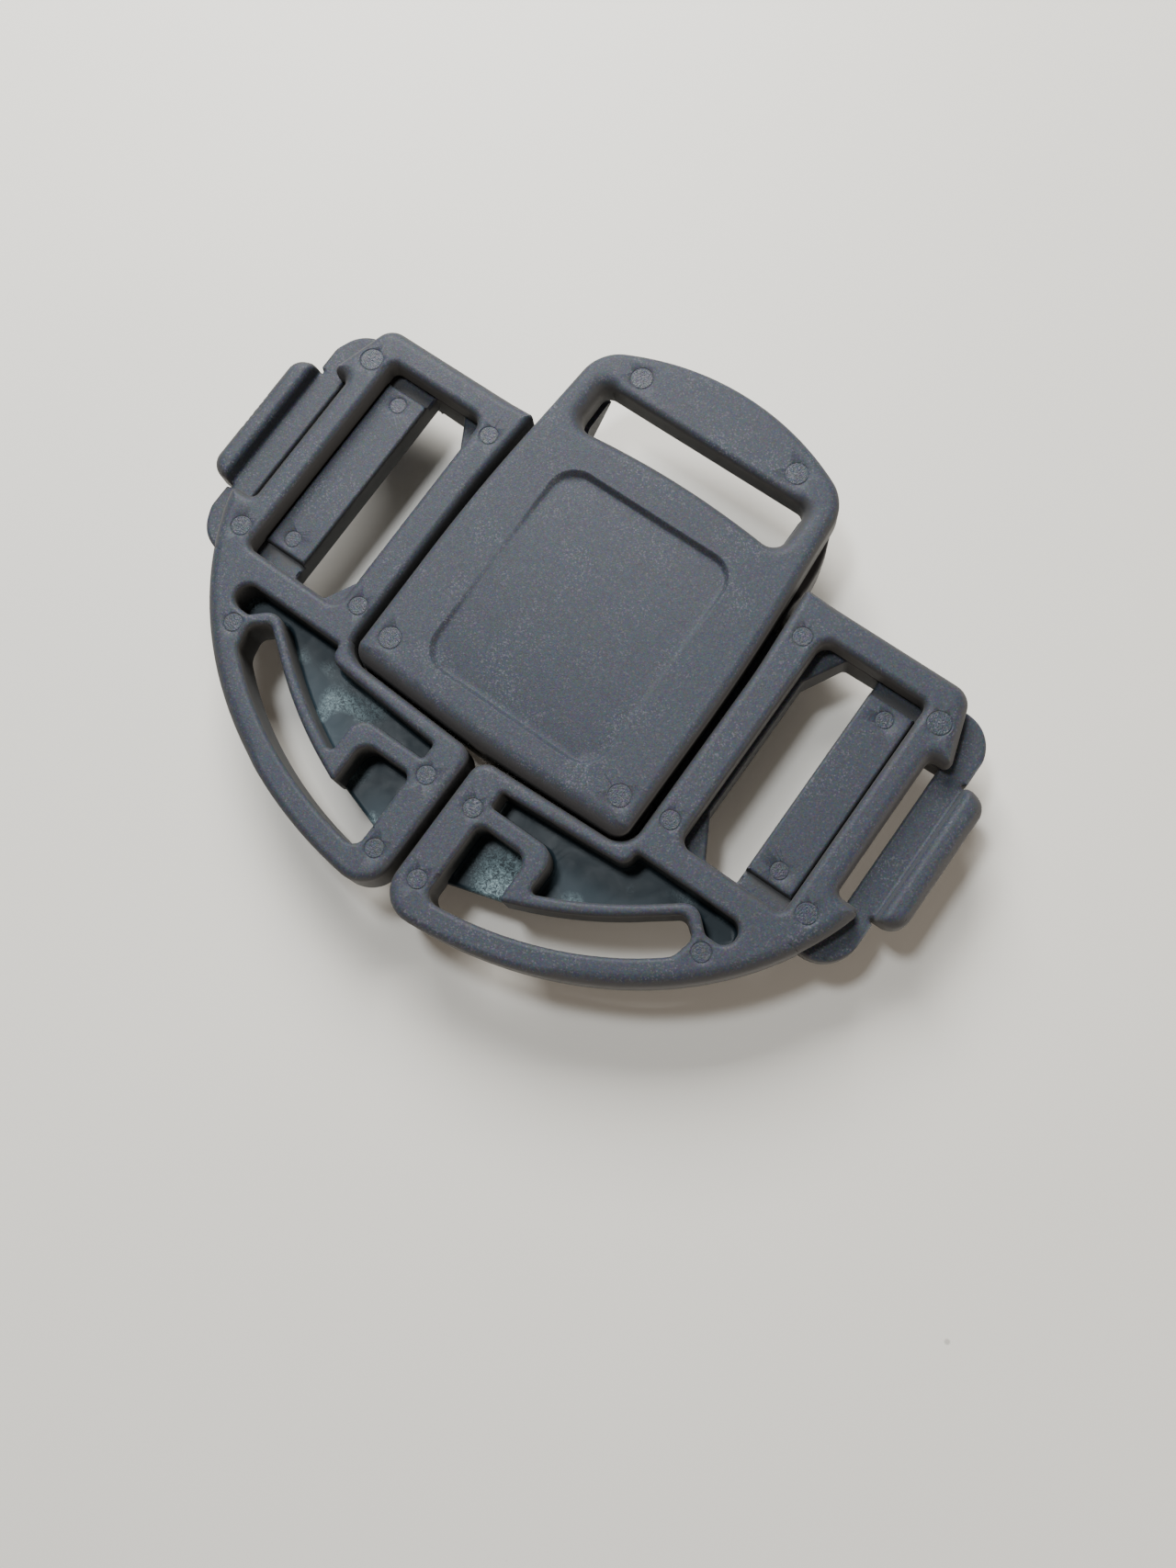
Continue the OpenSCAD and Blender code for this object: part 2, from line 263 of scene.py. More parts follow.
def ellipse_run(axes, from_x, to_x):
    """Corners along the loops' outer curve, or along one inside it."""
    start = math.acos(from_x / axes[0])
    sweep = math.acos(to_x / axes[0]) - start
    steps = math.ceil(abs(sweep) * axes[0] / 0.5)
    turns = start + sweep * np.linspace(0, 1, steps + 1)
    return [(axes[0] * math.cos(t), MOON_Y - axes[1] * math.sin(t), 0) for t in turns]


def waist_outline(half):
    """A closed outline that is the same on both sides of the waist pieces' axis, from its upper half."""
    return rounded([(x, y + WAIST_Y, r) for x, y, r in half + below(half)])


def rectangle(x0, x1, half_y):
    """A rectangle whose middle is on the waist pieces' axis."""
    corners = np.array([(x0, -1), (x1, -1), (x1, 1), (x0, 1)], float)
    return subdivided(corners * (1, half_y) + (0, WAIST_Y))


def circle(x, y, radius, count=40):
    turns = np.linspace(0, 2 * math.pi, count, endpoint=False)
    return np.stack([x + radius * np.cos(turns), y + radius * np.sin(turns)], 1)


def centre_outline(grow):
    tip_y = DOME_Y - DOME_R + DOME_R / math.cos(DOME_TILT)
    shoulder_x = SHOULDER[0] + grow
    side = [
        (PLATE_HALF_W - 0.1 + grow, PLATE_LOW_Y + 0.6, 1.7),
        (PLATE_HALF_W + grow, 8, 200),
        (shoulder_x, tip_y - shoulder_x * math.tan(DOME_TILT), SHOULDER[1]),
    ]
    return rounded(side + [(0, tip_y, DOME_R)] + across(side) + [(0, PLATE_LOW_Y - 0.05, 150)])


def strap_slot(half_l, high_y):
    return rounded([
        (half_l, SLOT_Y[0], 1.8),
        (half_l, high_y, 1.2),
        (-half_l, high_y, 1.2),
        (-half_l, SLOT_Y[0], 1.8),
        (0, SLOT_Y[0] + 2 * SLOT_BOW, 100),
    ])


def panel_outline(grow):
    x, low, high = PANEL_HALF_W + grow, PANEL_Y[0] - grow, PANEL_Y[1] + grow
    return rounded([(x, low, 3 + grow), (x, high, 3 + grow), (-x, high, 3 + grow), (-x, low, 3 + grow)])


# Plan geometry


# How near counts as touching, and how many places are measured at once, to save memory
TOUCH = 0.01
PLACES = 2000


def segments(points):
    return points, np.roll(points, -1, 0)


def nearest(xy, points):
    """Distance to an outline, and where along it the nearest place is, counted in points."""
    a, b = segments(points)
    run = b - a
    length = np.maximum((run**2).sum(1), 1e-12)
    distance = np.empty(len(xy))
    place = np.empty(len(xy))
    for k in range(0, len(xy), PLACES):
        offset = xy[k : k + PLACES, None] - a[None]
        t = np.clip((offset * run).sum(2) / length, 0, 1)
        gap = ((offset - t[..., None] * run) ** 2).sum(2)
        best = gap.argmin(1)
        rows = np.arange(len(best))
        distance[k : k + PLACES] = np.sqrt(gap[rows, best])
        place[k : k + PLACES] = best + t[rows, best]
    return distance, place


def inside(xy, points):
    a, b = segments(points)
    result = np.zeros(len(xy), bool)
    for p, q in zip(a, b):
        if p[1] == q[1]:
            continue
        crosses = (p[1] > xy[:, 1]) != (q[1] > xy[:, 1])
        at = p[0] + (xy[:, 1] - p[1]) * (q[0] - p[0]) / (q[1] - p[1])
        result ^= crosses & (xy[:, 0] < at)
    return result


def within(*outlines):
    """A test of whether points lie in any of the outlines."""
    return lambda xy: np.any([inside(xy, points) for points in outlines], axis=0)


def clipped(points, a, b):
    """The part of a closed outline on the right of the line from a to b, or past b in X."""
    a, b = np.array(a), np.array(b)
    side = (b[0] - a[0]) * (points[:, 1] - a[1]) - (b[1] - a[1]) * (points[:, 0] - a[0])
    side = np.where(points[:, 0] > b[0], -1, side)
    out = []
    for i, p in enumerate(points):
        j = (i + 1) % len(points)
        if side[i] < 0:
            out.append(p)
        if (side[i] < 0) != (side[j] < 0):
            out.append(p + (points[j] - p) * side[i] / (side[i] - side[j]))
    return subdivided(np.array(out))


class Rim:
    """An outline whose edge is rounded, on the side where the material is."""

    def __init__(self, points, radius, solid_inside=True):
        self.points = points
        self.radius = np.broadcast_to(np.asarray(radius, float), len(points)).copy()
        a, b = segments(points)
        turn = (a[:, 0] * b[:, 1] - a[:, 1] * b[:, 0]).sum()
        self.side = 1 if (turn > 0) == solid_inside else -1

    def drop(self, xy):
        """How far the rounded face lies below the flat one."""
        distance, place = nearest(xy, self.points)
        low = np.floor(place).astype(int)
        count = len(self.points)
        r = self.radius[low % count]
        r = between(r, self.radius[(low + 1) % count], place - low)
        short = np.clip(r - distance, 0, None)
        return r - np.sqrt(np.maximum(r * r - short * short, 0))

    def rings(self, steps):
        """Points inward of each point of the outline, where the rounding has its steps."""
        a, b = segments(self.points)
        along = (b - a) / np.maximum(np.linalg.norm(b - a, axis=1), 1e-9)[:, None]
        along = along + np.roll(along, 1, 0)
        along /= np.maximum(np.linalg.norm(along, axis=1), 1e-9)[:, None]
        inward = np.stack([-along[:, 1], along[:, 0]], 1) * self.side
        turns = np.linspace(0, math.pi / 2, steps + 1)[1:]
        return np.concatenate(
            [self.points + inward * (self.radius * (1 - math.cos(t)))[:, None] for t in turns]
        )


def fall(xy, rims):
    """The deepest of the rims' roundings at each point."""
    return np.maximum.reduce([np.zeros(len(xy))] + [rim.drop(xy) for rim in rims])


def between(a, b, share):
    return a + (b - a) * share


def fade(value, start, end):
    """A share that goes from 0 to 1 while the value goes from start to end."""
    return np.clip((value - start) / (end - start), 0, 1)


def evened(radii):
    """Radii along an outline with their changes spread over a few points."""
    for _ in range(3):
        radii = (np.roll(radii, 1) + radii + np.roll(radii, -1)) / 3
    return radii


def rubbed(rims, full):
    """Wear that grows with the rims' fall, and is whole at the given depth; it also places the warm
    reflection painted on the edges.
    """
    return lambda xy: np.clip(fall(xy, rims) / full, 0, 1)


def ring_points(rims, steps, keep):
    """The rims' ring points that lie in the material and on their own rounding."""
    out = []
    for rim in rims:
        points = rim.rings(steps)
        points = points[keep(points)]
        own = rim.drop(points)
        rest = fall(points, [other for other in rims if other is not rim])
        clear = nearest(points, rim.points)[0] > TOUCH
        out.append(points[(own >= rest - TOUCH) & clear])
    return np.concatenate(out)


# Depths of an ejector mark's groove and floor, how far the groove's sides reach out and in, and how far
# inside the mark its pad ends
MARK_GROOVE = 0.09
MARK_FLOOR = 0.06
GROOVE_OUT = 0.12
GROOVE_IN = 0.14
PAD_INSET = 0.12


def mark_rings(marks):
    steps = (GROOVE_OUT, 0, -GROOVE_IN)
    return closed_lines(*[circle(x, y, r + step) for x, y, r in marks for step in steps])


def mark_fall(xy, marks):
    """Ejector marks: a fine groove round a shallow floor."""
    out = np.zeros(len(xy))
    for x, y, r in marks:
        reach = np.hypot(xy[:, 0] - x, xy[:, 1] - y)
        places = [r - GROOVE_IN, r, r + GROOVE_OUT]
        out = np.maximum(out, np.interp(reach, places, [MARK_FLOOR, MARK_GROOVE, 0]))
    return out


# Relief: a closed moulding from its plan

MERGE = 0.0001
HEIGHT_DIGITS = 5


def relief(lines, dots, regions, wear):
    """Builds a closed mesh. Lines are (points, closed) that split the plan, dots are further points.
    Regions are (mask, layers): the first whose mask holds is solid between each layer's two heights."""
    points, edges = [], []
    for line, closed in lines:
        base, count = len(points), len(line)
        points.extend(line.tolist())
        edges.extend((base + i, base + (i + 1) % count) for i in range(count if closed else count - 1))
    points.extend(np.asarray(dots).tolist())
    made = delaunay_2d_cdt([Vector(p) for p in points], edges, [], 0, MERGE, False)
    xy = np.array([tuple(v) for v in made[0]])
    triangles = np.array([f[:3] for f in made[2]])
    a, b, c = (xy[triangles[:, i]] for i in range(3))
    turn = (b[:, 0] - a[:, 0]) * (c[:, 1] - a[:, 1]) - (b[:, 1] - a[:, 1]) * (c[:, 0] - a[:, 0])
    triangles[turn < 0] = triangles[turn < 0][:, ::-1]
    centre = (a + b + c) / 3
    region = np.full(len(triangles), -1)
    for i in reversed(range(len(regions))):
        region[regions[i][0](centre)] = i
    heights = {}

    def height(function):
        if function not in heights:
            heights[function] = np.round(function(xy), HEIGHT_DIGITS)
        return heights[function]

    layers = [[(height(low), height(high)) for low, high in r[1]] for r in regions]
    faces, columns = [], {}

    def note(i, z):
        columns.setdefault(int(i), set()).add(float(z))
        return int(i), float(z)

    owner = {}
    for t, (i, j, k) in enumerate(triangles.tolist()):
        if region[t] >= 0:
            for pair in ((i, j), (j, k), (k, i)):
                owner[pair] = region[t]
    for t, (i, j, k) in enumerate(triangles.tolist()):
        if region[t] < 0:
            continue
        for low, high in layers[region[t]]:
            faces.append([note(v, high[v]) for v in (i, j, k)])
            faces.append([note(v, low[v]) for v in (k, j, i)])
    walls = []
    for (i, j), own in owner.items():
        other = owner.get((j, i), -1)
        if other == own:
            continue
        mine = layers[own]
        theirs = layers[other] if other >= 0 else []
        levels = sorted((z for layer in mine + theirs for z in layer), key=lambda z: z[i] + z[j])
        for low, high in zip(levels, levels[1:]):
            middle = low[i] + low[j] + high[i] + high[j]
            solid = [
                any(2 * (p[i] + p[j]) < middle < 2 * (q[i] + q[j]) for p, q in side)
                for side in (mine, theirs)
            ]
            if solid[0] and not solid[1]:
                walls.append((i, j, low, high))
                for v in (i, j):
                    note(v, low[v])
                    note(v, high[v])
    for i, j, low, high in walls:
        up = sorted(z for z in columns[j] if low[j] <= z <= high[j])
        down = sorted((z for z in columns[i] if low[i] <= z <= high[i]), reverse=True)
        face = [(j, z) for z in up] + [(i, z) for z in down]
        if len(face) > 2:
            faces.append(face)
    index, vertices, edge = {}, [], []
    worn = wear(xy)
    for face in faces:
        for key in face:
            if key not in index:
                index[key] = len(vertices)
                vertices.append((xy[key[0]][0], xy[key[0]][1], key[1]))
                edge.append(worn[key[0]])
    return np.array(vertices), [[index[key] for key in face] for face in faces], np.array(edge)


def flat(z):
    return lambda xy: np.full(len(xy), float(z))


SHARP_ANGLE = math.radians(38)


def placed(name, data):
    """A new object in the scene."""
    thing = bpy.data.objects.new(name, data)
    bpy.context.scene.collection.objects.link(thing)
    return thing


def moulding(name, node, parts, plastic, mirrored=False):
    """Makes the piece from a relief, smooths it and lets it stand for its CAD node."""
    vertices, faces, edge = parts
    if mirrored:
        vertices = vertices * (-1, 1, 1)
        faces = [face[::-1] for face in faces]
    mesh = bpy.data.meshes.new(name)
    mesh.from_pydata((vertices * MM).tolist(), [], faces)
    mesh.attributes.new("edge", "FLOAT", "POINT").data.foreach_set("value", edge.astype(np.float32))
    mesh.validate()
    mesh.polygons.foreach_set("use_smooth", [True] * len(mesh.polygons))
    mesh.set_sharp_from_angle(angle=SHARP_ANGLE)
    piece = placed(name, mesh)
    weighted = piece.modifiers.new("normals", "WEIGHTED_NORMAL")
    weighted.keep_sharp = True
    weighted.weight = 60
    finished(piece)
    piece.data.materials.clear()
    piece.data.materials.append(finish_of(plastic))
    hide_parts(node)
    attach(piece, "root")
    return piece


def finished(piece):
    """Turns the modifiers' result into the piece's own plain mesh."""
    bpy.context.view_layer.update()
    made = piece.evaluated_get(bpy.context.evaluated_depsgraph_get())
    mesh = bpy.data.meshes.new_from_object(made)
    piece.modifiers.clear()
    piece.data = mesh
    mesh.name = piece.name


# The pieces


def sizes():
    return bpy.context.scene.buckle_sizes


def mm(value):
    return value / MM


def back_shell():
    s = sizes()
    outline = centre_outline(0)
    slot = strap_slot(SLOT_HALF_L, SLOT_Y[1])
    slot_radius = between(mm(s.window_round), mm(s.slot_bar_round), fade(slot[:, 1], *SLOT_BAR_Y))
    slot_radius = between(slot_radius, mm(s.slot_end_round), fade(abs(slot[:, 0]), *SLOT_END_X))
    outline_radius = between(mm(s.plate_round), mm(s.plate_low_round), fade(outline[:, 1], *SEAM_Y))
    top_rims = [Rim(outline, outline_radius), Rim(slot, slot_radius, False)]
    low_rims = [Rim(outline, 0.3), Rim(slot, 0.2, False)]
    marks = PLATE_MARKS + across(PLATE_MARKS)
    panel = panel_outline(0)
    crown_r, crown_y, crown_drop = PANEL_CROWN

    def panel_fall(xy):
        distance = nearest(xy, panel)[0] * np.where(inside(xy, panel), 1, -1)
        share = fade(distance, *PANEL_SOFT)
        share = share * share * (3 - 2 * share)
        bend = crown_r - np.sqrt(crown_r**2 - (xy[:, 1] - crown_y) ** 2)
        return share * (crown_drop + bend)

    def top(xy):
        return PLATE_TOP - fall(xy, top_rims) - mark_fall(xy, marks) - panel_fall(xy)

    def low(xy):
        return BACK_LOW + fall(xy, low_rims)

    def solid(xy):
        return inside(xy, outline) & ~inside(xy, slot)

    slope_lines = [panel_outline(-inward) for inward in np.linspace(*PANEL_SOFT, 7)]
    columns = np.arange(0.9 - PANEL_HALF_W, PANEL_HALF_W, PANEL_GRID)
    rows = np.arange(PANEL_Y[0] + 0.9, PANEL_Y[1], PANEL_GRID)
    grid = np.array([(x, y) for y in rows for x in columns])
    grid = grid[inside(grid, panel_outline(-0.8))]
    dots = np.concatenate([ring_points(top_rims, 7, solid), grid])
    lines = closed_lines(outline, slot, *slope_lines) + mark_rings(marks)
    return relief(lines, dots, [(solid, [(low, top)])], rubbed(top_rims, 0.8))


def wedge_height(y):
    """How far the front face rises towards the domed end, with a soft start."""
    (y0, z0), (y1, z1) = WEDGE
    slope = (z1 - z0) / (y1 - y0)
    share = fade(y, y0 - WEDGE_SOFT, y0 + WEDGE_SOFT)
    return np.where(y < y0 + WEDGE_SOFT, slope * WEDGE_SOFT * share * share, slope * (y - y0))


def flared(points):
    """The front shell's outline, which swells beside the dome's foot and ends under the dome."""
    shift = np.sign(points[:, 0]) * np.interp(points[:, 1], *FRONT_FLARE)
    return points + np.stack([shift, shift * 0], 1)


def front_shell():
    edge_line = flared(centre_outline(FRONT_PROUD))
    end_y = WEDGE[1][0]
    outline = clipped(edge_line, (-PAST_X, end_y), (PAST_X, end_y))
    slot = strap_slot(SLOT_HALF_L - FRONT_SLOT_IN, end_y + 2)
    big = Rim(edge_line, FRONT_ROUND)
    button_hole = circle(0, WAIST_Y, BUTTON_R + HOLE_PLAY, 96)
    flange_hole = circle(0, WAIST_Y, FLANGE_R + HOLE_PLAY, 96)
    hole_rim = Rim(button_hole, 0.5, False)
    slot_rim = Rim(slot, 0.4, False)
    upper_rim = Rim(outline, 0.3)

    def low(xy):
        base = np.maximum(big.drop(xy), wedge_height(xy[:, 1]))
        return base + fall(xy, [hole_rim, slot_rim])

    def ledge_low(xy):
        return np.minimum(low(xy), BUTTON_FLOOR - 0.1)

    def solid(xy):
        return inside(xy, outline) & ~inside(xy, slot) & ~inside(xy, button_hole)

    def in_channel(xy):
        return solid(xy) & (abs(xy[:, 1] - WAIST_Y) < CHANNEL_HALF_W)

    def in_flange(xy):
        return solid(xy) & inside(xy, flange_hole)

    def top(xy):
        return FRONT_TOP - upper_rim.drop(xy)

    floor, channel_low = flat(BUTTON_FLOOR), flat(CHANNEL_LOW)
    regions = [
        (lambda xy: in_flange(xy) & in_channel(xy), [(ledge_low, floor)]),
        (in_flange, [(ledge_low, floor), (channel_low, top)]),
        (in_channel, [(low, channel_low)]),
        (solid, [(low, top)]),
    ]
    rows = []
    for y in np.arange(WEDGE[0][0] - 2.4, end_y - 0.6, STRAIGHT_STEP):
        row = stretch((-ROW_HALF_L, y), (ROW_HALF_L, y))
        rows.append(row[inside(row, outline) & (nearest(row, outline)[0] > 0.7)])
    channel_low_line = stretch((-PAST_X, WAIST_Y - CHANNEL_HALF_W), (PAST_X, WAIST_Y - CHANNEL_HALF_W))
    channel_high_line = stretch((PAST_X, WAIST_Y + CHANNEL_HALF_W), (-PAST_X, WAIST_Y + CHANNEL_HALF_W))
    lines = closed_lines(outline, slot, button_hole, flange_hole)
    lines += open_lines(channel_low_line, channel_high_line, *rows)
    dots = np.concatenate([
        ring_points([big, hole_rim, slot_rim], 9, solid),
        ring_points([upper_rim], 4, solid),
    ])
    return relief(lines, dots, regions, rubbed([big, hole_rim], 0.8))


def button():
    face = circle(0, WAIST_Y, BUTTON_R, 96)
    flange = circle(0, WAIST_Y, FLANGE_R, 96)
    rim = Rim(face, 0.5)
    (catch_x0, catch_x1), catch_half = CATCH
    catches = [rectangle(catch_x0, catch_x1, catch_half), rectangle(-catch_x1, -catch_x0, catch_half)]

    def face_low(xy):
        reach = np.hypot(xy[:, 0], xy[:, 1] - WAIST_Y)
        dish = np.clip(BUTTON_DISH[1] * (1 - (reach / BUTTON_DISH[0]) ** 2), 0, None)
        return BUTTON_FACE + dish + rim.drop(xy)

    in_catch, in_face = within(*catches), within(face)
    flange_low, flange_top, catch_top = flat(BUTTON_FLOOR + 0.2), flat(CHANNEL_LOW - 0.2), flat(CATCH_TOP)
    regions = [
        (lambda xy: in_catch(xy) & in_face(xy), [(face_low, catch_top)]),
        (in_catch, [(flange_low, catch_top)]),
        (in_face, [(face_low, flange_top)]),
        (within(flange), [(flange_low, flange_top)]),
    ]
    dots = [rim.rings(6)] + [circle(0, WAIST_Y, r, 64) for r in np.arange(0.8, BUTTON_R - 0.7, 0.8)]
    return relief(closed_lines(face, flange, *catches), np.concatenate(dots), regions, rubbed([rim], 0.4))


def shoulder_loop():
    s = sizes()
    outer = rounded(LOOP_CORNERS_HIGH + ellipse_run(MOON_AXES, 40.6, 4.3) + LOOP_CORNERS_LOW)
    window = rounded(WINDOW_CORNERS)
    cavity = rounded(CAVITY_CORNERS)
    slot_axes = (MOON_AXES[0] - RIM_W, MOON_AXES[1] - RIM_W)
    pocket = rounded(POCKET_CORNERS + ellipse_run(slot_axes, 27.7, 6.2))
    through = clipped(pocket, *POCKET_SILL)
    wall_r = mm(s.wall_round)
    outer_r = np.full(len(outer), mm(s.rim_round))
    outer_r[outer[:, 0] < BESIDE_PLATE_X] = mm(s.inner_round)
    top_rims = [
        Rim(outer, evened(outer_r)),
        Rim(window, mm(s.window_round), False),
        Rim(cavity, wall_r, False),
        Rim(pocket, wall_r, False),
    ]
    low_rims = [Rim(outer, 0.7), Rim(window, 0.25, False), Rim(through, 0.4, False)]
    sill = [Rim(through, 0.45, False)]
    hollows = [Rim(cavity, 0.4), Rim(pocket, 0.4)]

    def top(xy):
        return LOOP_TOP - fall(xy, top_rims) - mark_fall(xy, LOOP_MARKS)

    def thick_low(xy):
        return MOON_LOW + fall(xy, low_rims)

    def thin_low(xy):
        return LOOP_LOW + fall(xy, low_rims) * 0.5

    def cavity_floor(xy):
        return FLOOR_TOP + hollows[0].drop(xy)

    def pocket_floor(xy):
        return FLOOR_TOP + np.where(fall(xy, sill) > 0, 0, hollows[1].drop(xy)) - fall(xy, sill)

    def solid(xy):
        return inside(xy, outer) & ~inside(xy, window) & ~inside(xy, through)

    def raised(xy):
        return solid(xy) & ~inside(xy, cavity) & ~inside(xy, pocket)

    def on_pocket_floor(xy):
        return inside(xy, pocket) & ~inside(xy, through)

    regions = [
        (within(window, through), []),
        (within(pocket), [(thick_low, pocket_floor)]),
        (within(cavity), [(thick_low, cavity_floor)]),
        (lambda xy: inside(xy, outer) & (xy[:, 1] < MOON_CUT_Y), [(thick_low, top)]),
        (within(outer), [(thin_low, top)]),
    ]
    lines = closed_lines(outer, window, cavity, pocket, through)
    lines += open_lines(stretch((15, MOON_CUT_Y), (44, MOON_CUT_Y))) + mark_rings(LOOP_MARKS)
    dots = np.concatenate([
        ring_points(top_rims, 7, raised),
        ring_points(hollows[:1], 4, within(cavity)),
        ring_points(hollows[1:], 4, on_pocket_floor),
        ring_points(sill, 4, on_pocket_floor),
    ])
    return relief(lines, dots, regions, rubbed(top_rims, 0.7))


def lip_profile():
    """X and Z along the waist piece's top, up to and over the lip."""
    x = WAIST_OUT_X[1]
    lip = [(x - 3.0, WAIST_TOP, 0.4), (x - 2.5, LIP_TOP, 0.9), (x + 1, LIP_TOP, 0)]
    line = rounded([(17, WAIST_TOP, 0)] + lip + [(x + 1, 0, 0), (17, 0, 0)])
    line = line[(line[:, 1] > WAIST_TOP - 0.01) & (line[:, 0] < x + 0.5)]
    return line[np.argsort(line[:, 0])]


def waist_tongue():
    s = sizes()
    half = [(TONGUE[0], TONGUE[1], 2), (TONGUE_END_X, TONGUE[1], 0)] + WAIST_CORNERS
    outer = waist_outline(half)
    octagon = waist_outline(OCTAGON_CORNERS)
    (bar_x0, bar_x1), bar_half = BAR
    bar = rectangle(bar_x0, bar_x1, bar_half)
    hollow_corners = [(BACK_SLOT_X[0], WINDOW_HALF_L), (bar_x0, WINDOW_HALF_L), (bar_x0, bar_half)]
    hollow = waist_outline([(x, y, 0) for x, y in hollow_corners])
    back_slot = rectangle(BACK_SLOT_X[0], BACK_SLOT_X[1], NOTCH_HALF_L)
    latch_window = rectangle(*TONGUE_WINDOW[0], TONGUE_WINDOW[1])
    profile = lip_profile()
    lug_r = np.where(outer[:, 0] > 38, mm(s.lug_round), 0.15)
    lug_r[outer[:, 0] > WAIST_OUT_X[0] + 0.4] = mm(s.tab_round)
    lug_r = evened(lug_r)
    top_rims = [Rim(outer, lug_r), Rim(octagon, 0.3, False), Rim(back_slot, 0.4, False)]
    low_rims = [Rim(outer, np.minimum(lug_r, 0.8)), Rim(octagon, 0.3, False), Rim(back_slot, 0.25, False)]
    bar_rim = Rim(bar, 0.4)

    def top(xy):
        return np.interp(xy[:, 0], profile[:, 0], profile[:, 1]) - fall(xy, top_rims)

    def bar_top(xy):
        return BAR_TOP - bar_rim.drop(xy) - mark_fall(xy, BAR_MARKS)

    def low(xy):
        taper = np.interp(xy[:, 0], [TONGUE_END_X, WAIST_OUT_X[1]], [WAIST_TOP - 4.5, WAIST_TOP - 2.4])
        return taper + fall(xy, low_rims)

    def solid(xy):
        return inside(xy, outer) & ~inside(xy, back_slot) & ~inside(xy, octagon) & ~inside(xy, latch_window)

    in_bar, bar_low, tongue_low = within(bar), flat(BAR_LOW), flat(TONGUE_LOW)
    regions = [
        (within(back_slot, latch_window), []),
        (in_bar, [(bar_low, bar_top)]),
        (within(octagon), []),
        (within(hollow), [(bar_low, top)]),
        (lambda xy: inside(xy, outer) & (xy[:, 0] < TONGUE_END_X), [(tongue_low, top)]),
        (within(outer), [(low, top)]),
    ]
    joint = stretch((TONGUE_END_X, WAIST_Y - TONGUE[1]), (TONGUE_END_X, WAIST_Y + TONGUE[1]))
    lines = closed_lines(outer, octagon, bar, hollow, back_slot, latch_window) + open_lines(joint)
    steps = TAB_HALF_L - mm(s.tab_round) * (1 - np.cos(np.linspace(0, math.pi / 2, 7)[1:]))
    steps = np.concatenate([[TAB_HALF_L + 0.3], steps, np.arange(steps[-1] - 0.8, 0.4, -0.8)])
    rows = np.concatenate([steps, [0], -steps[::-1]]) + WAIST_Y
    for x in profile[(profile[:, 0] > 40) & (profile[:, 0] < WAIST_OUT_X[1] - 0.1), 0]:
        lines += open_lines(np.stack([np.full(len(rows), x), rows], 1))
    lines += mark_rings(BAR_MARKS)
    dots = np.concatenate([
        ring_points(top_rims, 6, lambda xy: solid(xy) & ~in_bar(xy)),
        ring_points([bar_rim], 4, in_bar),
    ])

    def wear(xy):
        bar_edge = bar_rim.drop(xy) / 0.25
        return np.clip(np.maximum(bar_edge, fall(xy, top_rims) / 0.4), 0, 1)

    return relief(lines, dots, regions, wear)


# Node tools


def node_tool(tree):
    """A short way to add a node with its values and links in one call."""

    def add(kind, inputs=None, **settings):
        node = tree.nodes.new(kind)
        for key, value in settings.items():
            setattr(node, key, value)
        for key, value in (inputs or {}).items():
            socket = node.inputs[key]
            if isinstance(value, bpy.types.NodeSocket):
                tree.links.new(value, socket)
            else:
                socket.default_value = value
        return node

    return add


def node_group(kind, name, inputs, outputs):
    """A new node group, the tool that adds nodes to it, and the sockets that it is given."""
    tree = bpy.data.node_groups.new(name, kind)
    for label, sort, value in inputs:
        socket = tree.interface.new_socket(label, in_out="INPUT", socket_type="NodeSocket" + sort)
        if value is not None:
            socket.default_value = value
    for label, sort in outputs:
        tree.interface.new_socket(label, in_out="OUTPUT", socket_type="NodeSocket" + sort)
    add = node_tool(tree)
    return tree, add, add("NodeGroupInput").outputs


def new_material(name):
    """An empty material, the tool that adds nodes to it, and the place on the piece."""
    material = bpy.data.materials.new(name)
    material.use_nodes = True
    material.node_tree.nodes.clear()
    add = node_tool(material.node_tree)
    return material, add, add("ShaderNodeTexCoord").outputs["Object"]


def maths(add, operation, *values):
    return add("ShaderNodeMath", dict(enumerate(values)), operation=operation).outputs[0]


def remap(add, value, start, end, low=0.0, high=1.0, ease="LINEAR"):
    """Goes from low to high while the value goes from start to end."""
    inputs = {"Value": value, "From Min": start, "From Max": end, "To Min": low, "To Max": high}
    return add("ShaderNodeMapRange", inputs, interpolation_type=ease).outputs[0]


def noise(add, place, scale, detail, roughness=0.5, distortion=0.0):
    inputs = {"Vector": place, "Scale": scale, "Detail": detail}
    inputs.update({"Roughness": roughness, "Distortion": distortion})
    return add("ShaderNodeTexNoise", inputs).outputs["Fac"]


def mixed(add, factor, first, second):
    """A number on the way from the first to the second."""
    return add("ShaderNodeMix", {"Factor": factor, "A": first, "B": second}).outputs[0]


def blended(add, factor, first, second, **settings):
    """A colour on the way from the first to the second."""
    inputs = {"Factor": factor, "A": first, "B": second}
    return add("ShaderNodeMix", inputs, data_type="RGBA", **settings).outputs["Result"]


def opaque(tint, by=(1, 1, 1)):
    """A colour with its channels multiplied, as a socket takes it."""
    return [c * k for c, k in zip(tint, by)] + [1.0]


def group_outputs(add, name, build, inputs):
    """The outputs of a shader node group, which is built on its first use."""
    tree = bpy.data.node_groups.get(name) or build()
    return add("ShaderNodeGroup", inputs, node_tree=tree).outputs


def surface(add, inputs):
    shader = add("ShaderNodeBsdfPrincipled", inputs)
    add("ShaderNodeOutputMaterial", {"Surface": shader.outputs[0]})


# Marks, by Geometry Nodes


